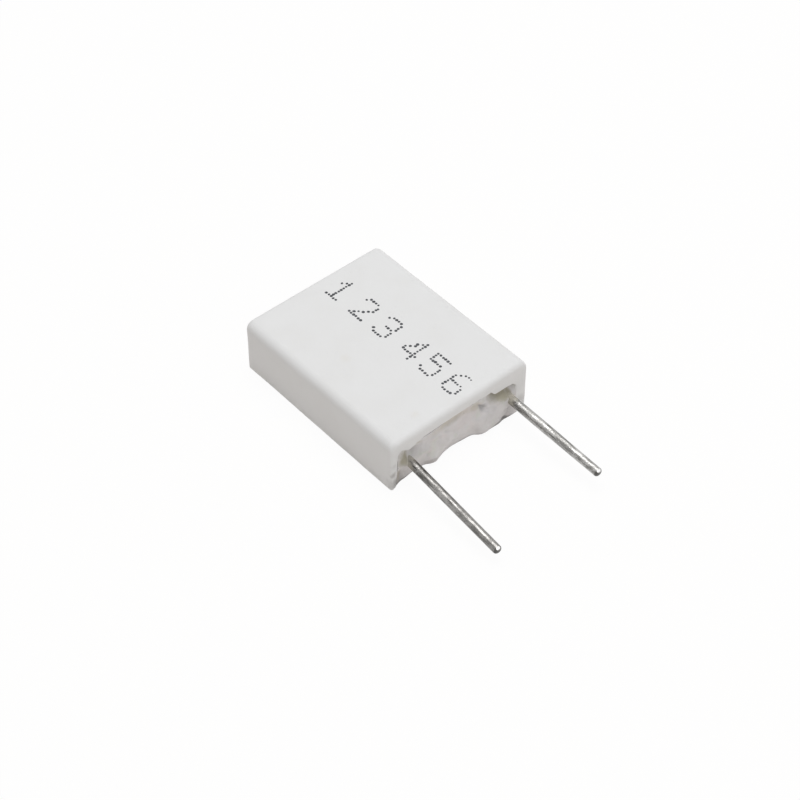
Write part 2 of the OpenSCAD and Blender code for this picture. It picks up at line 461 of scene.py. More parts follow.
@dataclass(frozen=True)
class TinFinish:
    """Dull tin on round wire: long drawing streaks, grey bloom, bright metal where the tip is cut, and
    painted shade on the rim below the cut.

    Residue of the cement covers the root, with darker streaks beyond it. Flank is how much further, in
    millimetres, it reaches on the outer side than on the top.
    """

    name: str = "tinned_wire"
    bright: Colour = (0.52, 0.512, 0.50)
    bloom: Colour = (0.21, 0.206, 0.196)
    deep: Colour = (0.075, 0.072, 0.067)
    fresh: Colour = (0.76, 0.75, 0.74)
    residue: Colour = (0.52, 0.49, 0.42)
    residue_from: float = 10.0
    residue_to: float = 9.0
    darker_from: float = 10.8
    darker_to: float = 9.6
    flank: float = 0.0

    def make(self) -> bpy.types.Material:
        """Builds the material.

        Returns:
            The material.
        """
        net = Net.material(self.name)
        place = net.place_mm()
        streak = net.grain(net.uv((1.3, 13.0, 1.0)), 1.0, 3.0, 0.65, 0.3)
        broad = net.grain(net.uv((0.4, 4.0, 1.0)), 1.0, 2.0, 0.5)
        grit = net.grain(place, 8.0, 3.0, 0.75)
        worn = (streak * 0.45 + broad * 0.3 + grit * 0.3).fade(0.43, 0.62)
        colour = net.mix(worn, self.bright, self.bloom)
        scratch = net.grain(net.uv((0.45, 26.0, 1.0)), 1.0, 2.0, 0.6).fade(0.56, 0.68)
        colour = net.mix(scratch * 0.7, colour, self.deep)
        spots = net.cells(place, 3.0).fade(0.16, 0.05) * grit.fade(0.42, 0.6)
        colour = net.mix(spots * 0.8, colour, self.deep)
        cut = net.node("ShaderNodeAttribute", {"attribute_name": "fresh_cut"}, None, "Fac")
        sheared = cut.fade(0.2, 0.7)
        colour = net.mix(sheared, colour, self.fresh)
        # Painted shade on the down-facing rim below the cut.
        colour = net.mix(cut.fade(-0.2, -0.7) * 0.8, colour, self.deep)
        frayed = net.axis(place, "X") + (net.grain(net.uv((1.5, 5.0, 1.0)), 1.0, 3.0, 0.6) - 0.5) * 1.6
        outer_side = net.axis(net.uv((1.0, 1.0, 1.0)), "Y").fade(0.28, 0.5)
        frayed = frayed + (0.5 - outer_side) * self.flank
        colour = net.mix(frayed.fade(self.darker_from, self.darker_to) * worn * 0.8, colour, self.deep)
        coated = frayed.fade(self.residue_from, self.residue_to)
        colour = net.mix(coated, colour, self.residue)
        normal = net.bump((grit * 0.5 + streak * 0.5) * (1 - sheared * 0.85), 0.5, 0.03)
        return net.finish(net.node("ShaderNodeBsdfPrincipled", None, {
            "Base Color": colour, "Metallic": 1 - coated * 0.95,
            "Roughness": 0.25 + worn * 0.12 + coated * 0.4, "Normal": normal}))


@dataclass(frozen=True)
class InkFinish:
    """Dark grey marking ink, thinner where a dot took less of it."""

    ink: Colour = (0.03, 0.032, 0.038)
    thin: Colour = (0.11, 0.115, 0.125)

    def make(self) -> bpy.types.Material:
        """Builds the material.

        Returns:
            The material.
        """
        net = Net.material("marking_ink")
        place = net.place_mm()
        patch = net.grain(place, 3.0, 2.0).fade(0.45, 0.7)
        colour = net.mix(patch * 0.8, self.ink, self.thin)
        normal = net.bump(net.grain(place, 16.0, 2.0), 0.3, 0.01)
        return net.finish(net.node("ShaderNodeBsdfPrincipled", None, {
            "Base Color": colour, "Roughness": 0.6 + patch * 0.15, "Normal": normal}))


@dataclass(frozen=True)
class AlloyFinish:
    """Rolled resistance sheet: grey-brown oxide with rolling lines along the strips."""

    metal: Colour = (0.50, 0.47, 0.43)
    oxide: Colour = (0.30, 0.27, 0.24)

    def make(self) -> bpy.types.Material:
        """Builds the material.

        Returns:
            The material.
        """
        net = Net.material("resistance_sheet")
        place = net.place_mm()
        rolled = net.grain(net.vector("MULTIPLY", place, (0.6, 18.0, 18.0)), 1.0, 3.0, 0.6)
        heat = net.grain(place, 0.5, 2.0).fade(0.4, 0.65)
        colour = net.mix(heat * 0.6 + rolled * 0.3, self.metal, self.oxide)
        return net.finish(net.node("ShaderNodeBsdfPrincipled", None, {
            "Base Color": colour, "Metallic": 1.0, "Roughness": 0.32 + rolled * 0.2,
            "Normal": net.bump(rolled, 0.4, 0.01)}))


@dataclass(frozen=True)
class FloorFinish:
    """White sweep that the camera and mirrors see as nearly white, with the object's soft shadow."""

    paint: Colour = (0.93, 0.885, 0.845)
    lift: float = 0.95

    def make(self) -> bpy.types.Material:
        """Builds the material.

        Returns:
            The material.
        """
        net = Net.material("white_floor")
        paint = net.node("ShaderNodeBsdfDiffuse", None, {"Color": self.paint})
        white = net.node("ShaderNodeEmission", None, {"Color": (1.0, 1.0, 1.0), "Strength": 1.0})
        factor = net.seen_or_mirrored() * self.lift
        return net.finish(net.node("ShaderNodeMixShader", None, {0: factor, 1: paint, 2: white}))


def bell(distance: float, spread: float) -> float:
    """A bump that is 1 at its middle and fades with distance."""
    return math.exp(-((distance / spread) ** 2))


def ease(value: float, start: float, end: float) -> float:
    """Rises smoothly from 0 at start to 1 at end. Start may be the larger one."""
    share = min(max((value - start) / (end - start), 0.0), 1.0)
    return share * share * (3 - 2 * share)


def follow(line: Line, at: float) -> float:
    """Reads the smooth curve through a line of points.

    Args:
        line: places and values, with the places rising.
        at: the place to read.

    Returns:
        The value there.
    """
    at = min(max(at, line[0][0]), line[-1][0])
    i = max(j for j, (place, _) in enumerate(line[:-1]) if place <= at)
    slopes = []
    for j in (i, i + 1):
        (a, value_a), (b, value_b) = line[max(j - 1, 0)], line[min(j + 1, len(line) - 1)]
        slopes.append((value_b - value_a) / (b - a))
    (a, value_a), (b, value_b) = line[i], line[i + 1]
    share, run = (at - a) / (b - a), b - a
    rest = 1 - share
    return (value_a * rest * rest * (1 + 2 * share) + value_b * share * share * (1 + 2 * rest)
            + run * share * rest * (slopes[0] * rest - slopes[1] * share))


def ripple(place: Vector, per_mm: float, seed: float) -> float:
    """Smooth noise about 0, the same in each run."""
    return noise.noise(place * per_mm + Vector((seed, seed * 1.7, seed * 0.3)))


def cut_at(bm: bmesh.types.BMesh, axis: Sequence[float], places: Iterable[float]) -> None:
    """Cuts edges into a mesh along planes, and takes nothing away.

    Args:
        bm: the mesh.
        axis: direction in which the planes follow each other.
        places: where they lie along it.
    """
    for place in places:
        bmesh.ops.bisect_plane(bm, geom=bm.verts[:] + bm.edges[:] + bm.faces[:], dist=1e-5,
                               plane_co=Vector(axis) * place, plane_no=axis)


def steps(start: float, end: float, size: float) -> list[float]:
    """Even places strictly between start and end, no further apart than size."""
    count = max(math.ceil((end - start) / size), 1)
    return [start + (end - start) * i / count for i in range(1, count)]


@dataclass
class Piece:
    """What every visible piece shares: it is placed in metres and rides on the part's one body."""

    name: str
    slot: Slot
    replaced: tuple[str, ...] = ()

    def place(self, bm: bmesh.types.BMesh, material: bpy.types.Material,
              sharp_degrees: float = 40.0) -> bpy.types.Object:
        """Makes the object from a mesh in millimetres.

        Args:
            bm: the mesh, which is used up.
            material: its finish.
            sharp_degrees: edges that turn by more than this stay sharp.

        Returns:
            The object.
        """
        bmesh.ops.remove_doubles(bm, verts=bm.verts[:], dist=1e-5)
        bmesh.ops.recalc_face_normals(bm, faces=bm.faces[:])
        bmesh.ops.scale(bm, verts=bm.verts[:], vec=(MM, MM, MM))
        for face in bm.faces:
            face.smooth = True
        for edge in bm.edges:
            edge.smooth = edge.calc_face_angle(0.0) < math.radians(sharp_degrees)
        open_edges = sum(1 for edge in bm.edges if len(edge.link_faces) != 2)
        mesh = bpy.data.meshes.new(self.name)
        bm.to_mesh(mesh)
        bm.free()
        mesh.materials.append(material)
        made = bpy.data.objects.new(self.name, mesh)
        bpy.context.scene.collection.objects.link(made)
        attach(made, "root")
        if self.replaced:
            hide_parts(*self.replaced)
        log.info("%s: %d faces, %d open edges", self.name, len(mesh.polygons), open_edges)
        return made


@dataclass
class CeramicCase(Piece):
    """The pressed trough: closed on top and at the back, open underneath and at the lead end."""

    length: float = 2 * OPEN_END
    width: float = 14.0
    thickness: float = 5.0
    left_wall: float = 0.72
    right_wall: float = 1.22
    end_wall: float = 1.2
    ceiling: float = 3.85
    side_edge_r: float = 0.75
    lead_edge_r: float = 0.55
    back_edge_r: float = 0.4
    corner_r: float = 0.18
    rim_edge_r: float = 0.2
    mouth_edge_r: float = 0.22
    pocket_r: float = 0.4
    # How far the mouth's upper edge is moved up, by y.
    mouth_line: Line = (
        (-6.25, 0.0), (-5.9, 0.0), (-5.5, -0.26), (-5.1, -0.4), (-4.5, -0.2), (-3.7, 0.0), (3.15, 0.03),
        (3.6, -0.42), (4.6, -0.48), (5.8, -0.62))
    worn_pillar: float = 0.14
    skin: float = 0.012

    @property
    def open_end(self) -> float:
        """Place of the open end along the leads."""
        return self.length / 2

    def top_at(self, x: float, y: float) -> float:
        """Height of the slightly uneven top face."""
        return self.thickness - self.skin + self.skin * 0.5 * (
            ripple(Vector((x, y, 0)), 0.22, 3.0) + 0.4 * ripple(Vector((x, y, 0)), 0.8, 5.0))

    def _section(self) -> bmesh.types.BMesh:
        """Draws the end view: the walls, and the pocket between them, with their long edges rounded.

        Returns:
            The flat drawing, as one face for the walls and one for the pocket.
        """
        bm = bmesh.new()
        back, wide = -self.open_end, self.width / 2
        left, right = self.left_wall - wide, wide - self.right_wall
        spots = ((-wide, 0), (left, 0), (left, self.ceiling), (right, self.ceiling), (right, 0),
                 (wide, 0), (wide, self.thickness), (-wide, self.thickness))
        corners = [bm.verts.new((back, y, z)) for y, z in spots]
        bm.faces.new(corners)
        bm.faces.new([corners[1], corners[4], corners[3], corners[2]])
        for pair, radius in (((6, 7), self.side_edge_r), ((2, 3), self.pocket_r)):
            bmesh.ops.bevel(bm, geom=[corners[i] for i in pair], offset=radius, offset_type="OFFSET",
                            segments=8, profile=0.5, affect="VERTICES", material=-1)
        return bm

    def _trough(self) -> bmesh.types.BMesh:
        """Extrudes the end view: walls and pocket together as the end wall, then the walls alone.

        Returns:
            The trough, still sharp at both ends.
        """
        bm = self._section()
        faces = bm.faces[:]
        for run in (self.end_wall, self.length - self.end_wall):
            start = faces if len(faces) == 1 else []
            grown = bmesh.ops.extrude_face_region(bm, geom=faces)["geom"]
            bmesh.ops.translate(bm, vec=(run, 0, 0),
                                verts=[item for item in grown if isinstance(item, bmesh.types.BMVert)])
            bmesh.ops.delete(bm, geom=start, context="FACES_ONLY")
            faces = [max((item for item in grown if isinstance(item, bmesh.types.BMFace)),
                         key=lambda item: len(item.verts))]
        bmesh.ops.recalc_face_normals(bm, faces=bm.faces[:])
        return bm

    def _edge_radius(self, edge: bmesh.types.BMEdge) -> float:
        """Tells how round an edge is pressed and worn.

        Args:
            edge: an edge of the trough.

        Returns:
            Its radius, or 0 where it isn't rounded here.
        """
        a, b = (vert.co for vert in edge.verts)
        if edge.calc_face_angle(0.0) < math.radians(60):
            return 0.0
        middle, wide = (a + b) / 2, self.width / 2
        outer = abs(middle.y) > wide - 0.01 or middle.z > self.ceiling + 0.2
        at_front, at_back = min(a.x, b.x) > self.open_end - 0.01, max(a.x, b.x) < 0.01 - self.open_end
        if max(a.z, b.z) < 0.01:
            return self.rim_edge_r if outer or at_back or at_front else self.mouth_edge_r * 0.7
        if at_front:
            if not outer:
                return self.mouth_edge_r if middle.z < self.ceiling - 0.4 else self.mouth_edge_r * 0.6
            rise = ease(middle.z, self.thickness - self.side_edge_r, self.thickness)
            return self.corner_r + (self.lead_edge_r - self.corner_r) * rise
        if at_back:
            return self.back_edge_r
        return 0.0

    def _rounded(self, bm: bmesh.types.BMesh) -> bmesh.types.BMesh:
        """Rounds the remaining edges, each by its own radius.

        Args:
            bm: the sharp-ended trough, which is used up.

        Returns:
            The rounded one.
        """
        widest = max(self.lead_edge_r, self.back_edge_r, self.corner_r)
        weight = bm.edges.layers.float.new("bevel_weight_edge")
        for edge in bm.edges:
            edge[weight] = self._edge_radius(edge) / widest
        mesh = bpy.data.meshes.new("trough")
        bm.to_mesh(mesh)
        bm.free()
        rough = bpy.data.objects.new("trough", mesh)
        bpy.context.scene.collection.objects.link(rough)
        bevel = rough.modifiers.new("edges", "BEVEL")
        bevel.limit_method, bevel.width, bevel.segments = "WEIGHT", widest, 6
        bevel.use_clamp_overlap, bevel.profile = False, 0.5
        graph = bpy.context.evaluated_depsgraph_get()
        done = bmesh.new()
        done.from_mesh(rough.evaluated_get(graph).to_mesh())
        bpy.data.objects.remove(rough)
        bpy.data.meshes.remove(mesh)
        return done

    def _warp(self, at: Vector) -> Vector:
        """Moves a point of the ideal trough to where pressing, firing and handling left it.

        Args:
            at: the ideal point.

        Returns:
            The moved point.
        """
        moved = at.copy()
        calm = ease(at.z, 0.0, 0.8)
        sway = self.skin * 1.6
        wide, end = self.width / 2, self.open_end
        moved.y -= math.copysign(sway, at.y) * ease(abs(at.y), wide - 0.7, wide) * (
            0.5 + ripple(at, 0.35, 11.0) + 0.5 * ripple(at, 1.1, 12.0))
        moved.x -= math.copysign(sway, at.x) * ease(abs(at.x), end - 0.8, end) * (
            0.5 + ripple(at, 0.4, 13.0) + 0.5 * ripple(at, 1.2, 14.0))
        lift = ease(at.z, self.ceiling, self.thickness)
        moved.z += lift * (self.top_at(at.x, at.y) - self.thickness)
        near_mouth = ease(at.x, end - 0.95, end - 0.45)
        low = ease(at.z, self.thickness - 0.35, self.ceiling + 0.05)
        low *= ease(at.z, 2.6, self.ceiling - 0.3)
        inside = 1 - ease(abs(at.y), wide - 0.6, wide - 0.2)
        moved.z += follow(self.mouth_line, at.y) * inside * near_mouth * low
        moved.z += 0.05 * ripple(at, 1.3, 21.0) * near_mouth * low * inside * calm
        worn = ease(at.y, -wide + 0.05, -wide + 0.85) * ease(at.z, 2.9, 0.2) * ease(at.y, 0.0, -3.0)
        moved.x -= self.worn_pillar * worn * ease(at.x, end - 1.2, end)
        return moved

    def build(self, material: bpy.types.Material) -> bpy.types.Object:
        """Builds and places the case.

        Args:
            material: its finish.

        Returns:
            The object.
        """
        bm = self._rounded(self._trough())
        end, wide = self.open_end, self.width / 2
        cut_at(bm, (1, 0, 0), steps(-end + 0.6, end - 1.2, 1.0) + steps(end - 1.4, end - 0.1, 0.13))
        cut_at(bm, (0, 1, 0), steps(-3.5, wide - 0.9, 0.5) + steps(3.1, 3.8, 0.07)
               + steps(-wide, -3.5, 0.12) + [wide - 0.9, wide - 0.6])
        cut_at(bm, (0, 0, 1), steps(0.3, self.thickness - 1.2, 0.3)
               + steps(self.thickness - 1.2, self.thickness - 0.1, 0.12))
        for vert in bm.verts:
            vert.co = self._warp(vert.co)
        return self.place(bm, material)


@dataclass
class Cement(Piece):
    """The cement in the trough: lumpy free end, hollows round the leads and poured underside."""

    pocket_back: float = -7.65
    left: float = -6.3
    right: float = 5.8
    top: float = 3.87
    sink: float = 0.12
    open_end: float = OPEN_END
    lead_y: float = LEAD_Y
    lead_z: float = LEAD_Z
    # How far out the free end stands, by y: low in the mouth, and high in it.
    low_line: Line = (
        (-6.3, -0.13), (-5.2, -0.3), (-4.5, -0.38), (-3.4, -0.33), (-2.9, -0.1), (-2.5, -0.02),
        (-1.95, -0.15), (-1.3, -0.32), (-0.5, -0.39), (0.4, -0.28), (1.2, -0.25), (1.6, -0.13),
        (1.95, 0.14), (2.3, 0.25), (2.9, 0.22), (4.1, 0.3), (5.8, 0.27))
    high_line: Line = (
        (-6.3, -0.3), (-4.9, -0.2), (-3.9, -0.05), (-2.6, -0.04), (-1.6, -0.09), (1.4, -0.1),
        (2.3, -0.14), (3.0, -0.5), (3.9, -0.62), (5.2, -0.5), (5.8, -0.2))
    # Rows of y, z, height or depth, reach across and reach up.
    lumps: Patches = (
        (1.7, 1.7, 0.22, 1.0, 0.7), (3.85, 2.1, 0.34, 0.5, 0.8), (3.0, 0.6, 0.16, 0.8, 0.4),
        (-2.7, 0.75, 0.24, 0.8, 0.4), (-0.7, 1.1, 0.18, 0.9, 0.6), (-3.5, 2.3, 0.1, 0.7, 0.6),
        (-3.28, 1.53, -0.16, 0.12, 0.12), (2.38, 2.8, -0.17, 0.36, 0.22), (-0.7, 3.5, -0.2, 1.5, 0.28),
        (0.6, 2.9, -0.12, 0.8, 0.3), (-5.9, 1.2, -0.2, 0.4, 1.0), (5.3, 0.9, 0.02, 0.4, 0.6),
        (0.3, 0.45, -0.1, 0.5, 0.3), (4.5, 0.5, -0.14, 0.5, 0.35))
    hollows: Patches = (
        (-4.95, 3.0, 0.65, 0.42, 0.55), (5.25, 3.0, 0.65, 0.5, 0.55), (4.0, 3.3, 0.3, 0.7, 0.35))
    collar_rise: float = 0.3
    collar_spread: float = 0.42
    collar_left: float = 0.36
    collar_up: float = 0.15
    # Rows of y and z at both ends, depth and reach.
    creases: tuple[tuple[float, float, float, float, float, float], ...] = (
        (1.85, 3.35, 2.85, 2.25, 0.24, 0.14), (-4.9, 2.6, -4.2, 3.3, 0.12, 0.2),
        (4.3, 0.35, 5.0, 0.7, 0.1, 0.2), (-1.9, 3.1, -0.9, 2.4, 0.1, 0.16))
    lip: float = 0.16
    most_proud: float = 0.32
    shaped_run: float = 2.0
    fine_run: float = 2.2

    def front_at(self, y: float, z: float) -> float:
        """Shapes the free end.

        Args:
            y: place across the mouth.
            z: height in the mouth.

        Returns:
            How far the free end stands along the leads there.
        """
        share = (z - self.sink) / (self.top - self.sink)
        low, high = follow(self.low_line, y), follow(self.high_line, y)
        out = low + (max(high, low * 0.3) - low) * ease(share, 0.05, 0.6)
        out += (high - max(high, low * 0.3)) * ease(share, 0.6, 1.0)
        for place, height, height_out, wide, tall in self.lumps:
            out += height_out * bell(math.hypot((y - place) / wide, (z - height) / tall), 1.0)
        for place, height, depth, wide, tall in self.hollows:
            out -= depth * bell(math.hypot((y - place) / wide, (z - height) / tall), 1.0)
        for side in Side:
            across, up = y - side.value * self.lead_y, z - self.lead_z
            away = math.hypot(across + self.collar_left, up - self.collar_up)
            out += self.collar_rise * bell(away, self.collar_spread)
        for y0, z0, y1, z1, depth, spread in self.creases:
            run = Vector((y1 - y0, z1 - z0))
            share = min(max(Vector((y - y0, z - z0)).dot(run) / run.length_squared, 0.0), 1.0)
            nearest = Vector((y0, z0)) + run * share
            out -= depth * bell((Vector((y, z)) - nearest).length, spread) * math.sin(
                math.pi * (0.15 + 0.7 * share))
        spot = Vector((0.0, y, z))
        calm = 0.1 + 0.9 * ease(z, 0.15, 0.9)
        out += calm * (0.1 * ripple(spot, 0.7, 31.0) + 0.1 * ripple(spot, 1.6, 32.0))
        out += calm * (0.03 * ripple(spot, 3.6, 33.0) + 0.01 * ripple(spot, 8.0, 34.0))
        turned_under = 1 - min(max((z - self.sink) / self.lip, 0.0), 1.0)
        out -= self.lip * (1 - math.sqrt(max(1 - turned_under ** 2, 0.0)))
        return self.open_end + min(out, self.most_proud)

    def build(self, material: bpy.types.Material) -> bpy.types.Object:
        """Builds and places the cement.

        Args:
            material: its finish.

        Returns:
            The object.
        """
        bm = bmesh.new()
        bmesh.ops.create_cube(bm, size=1.0)
        low = Vector((self.pocket_back, self.left, self.sink))
        high = Vector((self.open_end, self.right, self.top))
        bmesh.ops.scale(bm, vec=high - low, verts=bm.verts[:])
        bmesh.ops.translate(bm, vec=(high + low) / 2, verts=bm.verts[:])
        cut_at(bm, (0, 1, 0), steps(self.left, self.right, 0.1))
        turning = [self.sink + self.lip * part for part in (0.04, 0.12, 0.25, 0.45, 0.7, 1.0)]
        cut_at(bm, (0, 0, 1), turning + steps(self.sink + self.lip, self.top, 0.09))
        cut_at(bm, (1, 0, 0), steps(self.pocket_back, self.open_end - self.shaped_run, 0.3)
               + steps(self.open_end - self.fine_run, self.open_end, 0.15))
        for vert in bm.verts:
            at = vert.co.copy()
            pull = ease(at.x, self.open_end - self.shaped_run, self.open_end)
            vert.co.x += pull * (self.front_at(at.y, at.z) - self.open_end)
            under = 1 - ease(at.z, self.sink, self.sink + 0.4)
            inner = ease(at.y, self.left, self.left + 0.5) * ease(at.y, self.right, self.right - 0.5)
            flat = Vector((at.x, at.y, 0))
            wave = 0.05 * ripple(flat, 0.35, 41.0) + 0.03 * ripple(flat, 1.2, 42.0)
            wave += 0.012 * ripple(flat, 4.0, 43.0)
            vert.co.z += under * wave * (0.4 + 0.6 * inner) * (1 - 0.8 * pull)
        return self.place(bm, material, 60.0)


@dataclass
class Lead(Piece):
    """One tinned wire: pressed foot, straight run in the cement, bend, free stretch and cut tip."""

    side: Side = Side.LEFT
    free_length: float = 10.25
    droop: float = 5.5
    splay: float = 1.7
    radius: float = 0.385
    tip_radius: float = 0.365
    bend_r: float = 2.0
    tip_r: float = 0.24
    open_end: float = OPEN_END
    tab_end: float = 5.35
    foot_length: float = 2.1
    foot_width: float = 1.1
    foot_thickness: float = 0.5
    foot_taper: float = 0.8
    lead_y: float = LEAD_Y
    lead_z: float = LEAD_Z
    around: int = 40
    tip_rings: int = 7
    cap_rings: tuple[float, ...] = (0.7, 0.4, 0.12)
    uv_apart: float = 20.0
    shear_at: float = 0.25
    shear_slope: float = 1.25

    def _direction(self) -> tuple[float, Vector]:
        """Works out the bend from droop and splay.

        Returns:
            Its angle, and the direction across the wire that it bends towards.
        """
        drop = math.tan(math.radians(self.droop))
        out = self.side.value * math.tan(math.radians(self.splay))
        towards = Vector((0.0, out, -drop))
        return math.atan(towards.length), towards.normalized()

    def _stations(self) -> list[tuple[Vector, float, float, float]]:
        """Lists the places along the wire.

        Returns:
            For each, the point, the turn of the bend so far, and half width and half height.
        """
        angle, towards = self._direction()
        start = self.tab_end - self.foot_length
        bend_run = self.bend_r * math.tan(angle / 2)
        bend_start = self.open_end - bend_run
        rows: list[tuple[Vector, float, float, float]] = []

        def add(x: float, turn: float, across: float, up: float) -> None:
            """Adds a straight-run station."""
            rows.append((Vector((x, 0.0, 0.0)), turn, across, up))

        flat = (self.foot_width / 2, self.foot_thickness / 2)
        add(start, 0.0, flat[0] * 0.7, flat[1] * 0.8)
        add(start + 0.1, 0.0, *flat)
        add(self.tab_end, 0.0, *flat)
        for share in (0.2, 0.4, 0.6, 0.8, 1.0):
            blend = ease(share, 0.0, 1.0)
            add(self.tab_end + self.foot_taper * share, 0.0,
                flat[0] + (self.radius - flat[0]) * blend, flat[1] + (self.radius - flat[1]) * blend)
        for x in steps(self.tab_end + self.foot_taper, bend_start, 0.4) + [bend_start]:
            add(x, 0.0, self.radius, self.radius)
        for share in (0.25, 0.5, 0.75, 1.0):
            turn = angle * share
            along = self.bend_r * math.sin(turn)
            aside = self.bend_r * (1 - math.cos(turn))
            spot = Vector((bend_start + along, 0, 0)) + towards * aside
            rows.append((spot, turn, self.radius, self.radius))
        free = Vector((math.cos(angle), 0, 0)) + towards * math.sin(angle)
        corner, run = rows[-1][0], self.free_length - bend_run
        for far in steps(0.0, run - self.tip_r, 0.2) + [run - self.tip_r]:
            size = self.radius + (self.tip_radius - self.radius) * ease(far, 0.3 * run, run)
            rows.append((corner + free * far, angle, size, size))
        for i in range(1, self.tip_rings + 1):
            lean = math.pi / 2 * i / self.tip_rings
            size = self.tip_radius - self.tip_r * (1 - math.cos(lean))
            rows.append((corner + free * (run - self.tip_r * (1 - math.sin(lean))), angle, size, size))
        for share in self.cap_rings:
            rows.append((rows[-1][0], angle, size * share, size * share))
        return rows

    def _ring(self, bm: bmesh.types.BMesh, ring: list[bmesh.types.BMVert],
              station: tuple[Vector, float, float, float]) -> None:
        """Sets a ring of points square to the wire at a station.

        Args:
            bm: the mesh; not used.
            ring: the ring's points, in order round the wire.
            station: what _stations gives.
        """
        point, turn, across, up = station
        _, towards = self._direction()
        lean = Matrix.Rotation(turn, 3, Vector((1, 0, 0)).cross(towards))
        for i, vert in enumerate(ring):
            round_at = 2 * math.pi * i / len(ring)
            spot = Vector((0.0, across * math.cos(round_at), up * math.sin(round_at)))
            rough = 1 + 0.012 * ripple(point + spot, 1.6, 51.0 + self.side.value)
            vert.co = point + lean @ (spot * rough)

    def build(self, material: bpy.types.Material) -> bpy.types.Object:
        """Builds and places the lead.

        Args:
            material: its finish.

        Returns:
            The object.
        """
        bm = bmesh.new()
        bm.verts.layers.float.new("fresh_cut")
        stations = self._stations()
        ring = bmesh.ops.create_circle(bm, segments=self.around, radius=self.radius,
                                       cap_ends=True)["verts"]
        self._ring(bm, ring, stations[0])
        face = bm.faces[:][0]
        length = 0.0
        along = [0.0]
        rows = [list(ring)]
        for before, station in zip(stations, stations[1:]):
            grown = bmesh.ops.extrude_face_region(bm, geom=[face])["geom"]
            if len(rows) > 1:
                bmesh.ops.delete(bm, geom=[face], context="FACES_ONLY")
            face = next(item for item in grown if isinstance(item, bmesh.types.BMFace))
            last = rows[-1]
            fresh = [next(edge.other_vert(vert) for edge in vert.link_edges
                          if edge.other_vert(vert) in face.verts) for vert in last]
            self._ring(bm, fresh, station)
            length += (station[0] - before[0]).length
            along.append(length)
            rows.append(fresh)
        self._unwrap(bm, rows, along)
        free = (stations[-1][0] - stations[-20][0]).normalized()
        self._shear(bm, rows[-self.tip_rings - len(self.cap_rings) - 1:], free)
        base = Vector((0.0, self.side.value * self.lead_y, self.lead_z))
        bmesh.ops.translate(bm, vec=base, verts=bm.verts[:])
        return self.place(bm, material)

    def _shear(self, bm: bmesh.types.BMesh, rows: list[list[bmesh.types.BMVert]], free: Vector) -> None:
        """Slants the upper half of the tip as cutters do, and marks the cut, and the rim below it for
        painted shade.

        Args:
            bm: the mesh.
            rows: the tip's rings of points.
            free: direction of the free stretch.
        """
        cut = bm.verts.layers.float["fresh_cut"]
        middle = sum((vert.co for vert in rows[-1]), Vector()) / len(rows[-1])
        upward = free.cross(Vector((0, 1, 0))).normalized()
        for vert in (vert for row in rows for vert in row):
            along, rise = (vert.co - middle).dot(free), (vert.co - middle).dot(upward)
            past = along + rise * self.shear_slope - self.shear_at
            # Positive on the cut face, negative on the rim below it, where the material paints shade.
            vert[cut] = ease(past, -0.03, 0.0) - ease(past, -0.03, -0.08) * ease(along, -0.26, -0.16)
            vert.co -= free * max(past, 0.0)

    def _unwrap(self, bm: bmesh.types.BMesh, rows: list[list[bmesh.types.BMVert]],
                along: list[float]) -> None:
        """Lays the wire's own UV: millimetres along it, and turns round it.

        Args:
            bm: the mesh.
            rows: the rings of points.
            along: how far each ring lies along the wire.
        """
        layer = bm.loops.layers.uv.new("along")
        where = {vert: (along[j] + self.uv_apart * self.side.value, i / len(row))
                 for j, row in enumerate(rows) for i, vert in enumerate(row)}
        for face in bm.faces:
            wraps = len(face.verts) == 4 and max(where[v][1] for v in face.verts) > 0.9 \
                and min(where[v][1] for v in face.verts) < 0.1
            for loop in face.loops:
                u, v = where[loop.vert]
                loop[layer].uv = (u, v + 1.0 if wraps and v < 0.1 else v)


